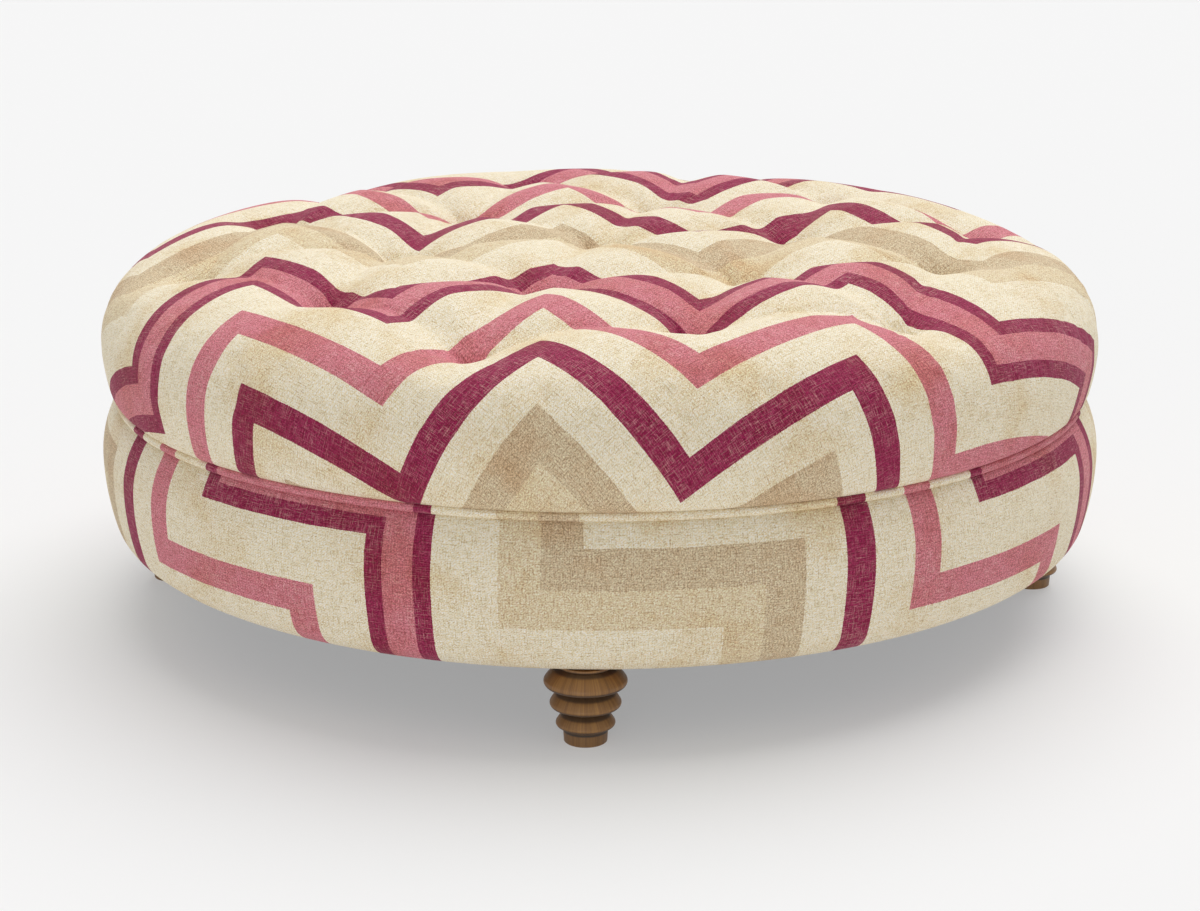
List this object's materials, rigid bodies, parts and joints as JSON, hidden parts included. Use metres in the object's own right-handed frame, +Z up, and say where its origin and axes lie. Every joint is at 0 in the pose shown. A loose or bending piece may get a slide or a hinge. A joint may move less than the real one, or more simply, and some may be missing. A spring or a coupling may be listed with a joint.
{
  "type": "round tufted tuffet",
  "caption": "Large round upholstered footstool with a tufted top cushion, a piped bulging border and short turned wooden legs.",
  "frame": {"origin": "centre of the footstool on the floor, in the plane of its feet", "axes": "+Z up; the legs stand on +X, +Y, -X and -Y, and the front leg is on -Y"},
  "size_m": [1.105, 1.105, 0.4113],
  "materials": {
    "printed_cloth": "heavy printed linen weave, matt, cream ground with raspberry, pink and beige stripes",
    "piping_cloth": "the same printed linen cut on the straight",
    "leg_wood": "turned beech, brown stain, satin lacquer",
    "frame_timber": "planed softwood, bare",
    "plywood": "birch plywood, bare",
    "dowel": "beech dowel, bare",
    "foam": "open-cell upholstery foam",
    "wadding": "polyester fibre wadding",
    "twine": "waxed twine and cotton cord",
    "dust_cloth": "black non-woven cloth",
    "zinc_steel": "zinc-plated steel"
  },
  "bodies": {
    "root": {"base_ring": "plywood", "base_screws": "zinc_steel", "border_cover": "printed_cloth", "border_foam": "foam", "border_wadding": "wadding", "cross_rail_lower": "frame_timber", "cross_rail_upper": "frame_timber", "deck_board": "plywood", "deck_screws": "zinc_steel", "dust_cover": "dust_cloth", "frame_post_1": "frame_timber", "frame_post_2": "frame_timber", "frame_post_3": "frame_timber", "frame_post_4": "frame_timber", "frame_post_5": "frame_timber", "frame_post_6": "frame_timber", "frame_post_7": "frame_timber", "frame_post_8": "frame_timber", "hanger_bolts": "zinc_steel", "leg_back": "leg_wood", "leg_block_back": "frame_timber", "leg_block_front": "frame_timber", "leg_block_left": "frame_timber", "leg_block_right": "frame_timber", "leg_front": "leg_wood", "leg_left": "leg_wood", "leg_right": "leg_wood", "piping_cord": "twine", "piping_cover": "piping_cloth", "seat_foam": "foam", "seat_wadding": "wadding", "side_hoop": "plywood", "tee_nuts": "zinc_steel", "top_cover": "printed_cloth", "tuft_toggles": "dowel", "tuft_twines": "twine"}
  },
  "joints": []
}
